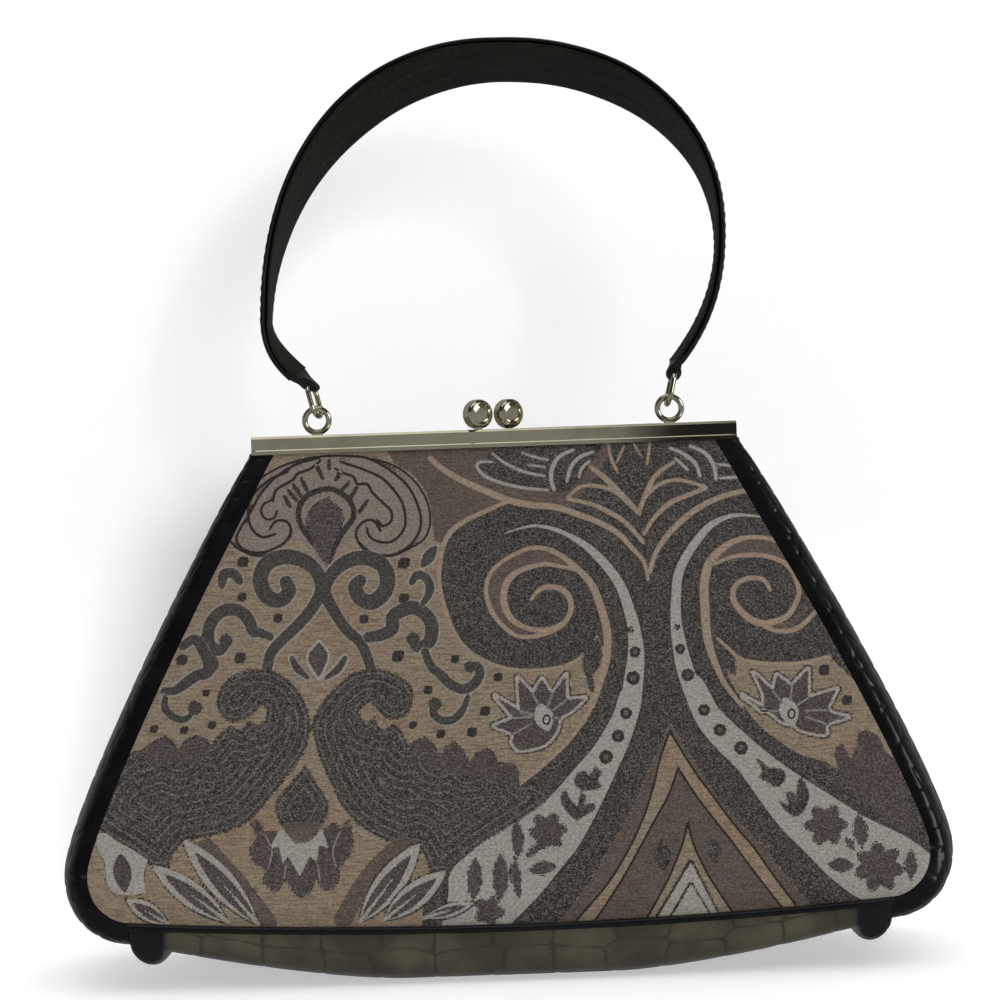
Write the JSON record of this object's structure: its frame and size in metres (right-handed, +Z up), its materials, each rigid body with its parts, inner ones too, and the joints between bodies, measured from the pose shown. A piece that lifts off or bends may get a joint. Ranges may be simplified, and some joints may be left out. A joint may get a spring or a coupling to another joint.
{
  "type": "frame handbag",
  "caption": "Trapezoid cloth handbag with glossy scaled leather sides on a hinged metal kiss-lock frame, carried by an arched leather strap on wire links.",
  "frame": {"origin": "centre of the flat base, on the floor the bag stands on", "axes": "+Z up, -Y towards the cloth face seen in the picture, +X to the right of someone looking at that face"},
  "size_m": [0.297, 0.0942, 0.3185],
  "materials": {
    "nickel": "polished warm nickel plate",
    "black_croc": "glossy embossed scales",
    "olive_croc": "glossy embossed scales",
    "jacquard": "woven jacquard",
    "lining_satin": "satin weave",
    "board": "plain grey board",
    "paper_cord": "twisted kraft paper"
  },
  "bodies": {
    "bag": {"front_panel": "jacquard", "back_panel": "jacquard", "left_gusset": "black_croc", "right_gusset": "black_croc", "base_panel": "olive_croc", "base_board": "board", "lining": "lining_satin", "front_piping": "black_croc", "back_piping": "black_croc", "left_hinge_rivet": "nickel", "right_hinge_rivet": "nickel"},
    "front_half": {"front_frame": "nickel", "front_packing_cord": "paper_cord", "front_clasp_knob": "nickel"},
    "back_half": {"back_frame": "nickel", "back_packing_cord": "paper_cord", "back_clasp_knob": "nickel", "left_eyelet": "nickel", "right_eyelet": "nickel"},
    "handle": {"strap": "black_croc", "strap_lining": "black_croc", "left_link": "nickel", "right_link": "nickel"}
  },
  "joints": [
    {"name": "front_open", "type": "hinge", "parent": "bag", "child": "front_half", "pos_m": [0, 0, 0.1435], "axis": [1, 0, 0], "range_deg": [0, 55], "deforming": ["front_panel", "left_gusset", "right_gusset", "lining"]},
    {"name": "back_open", "type": "hinge", "parent": "bag", "child": "back_half", "pos_m": [0, 0, 0.1435], "axis": [1, 0, 0], "range_deg": [-55, 0], "deforming": ["back_panel"]},
    {"name": "handle_swing", "type": "hinge", "parent": "back_half", "child": "handle", "pos_m": [0, 0.00315, 0.1908], "axis": [1, 0, 0], "range_deg": [-80, 112]}
  ],
  "couplings": [
    {"joint": "back_open", "follows": "front_open", "ratio": -1}
  ]
}
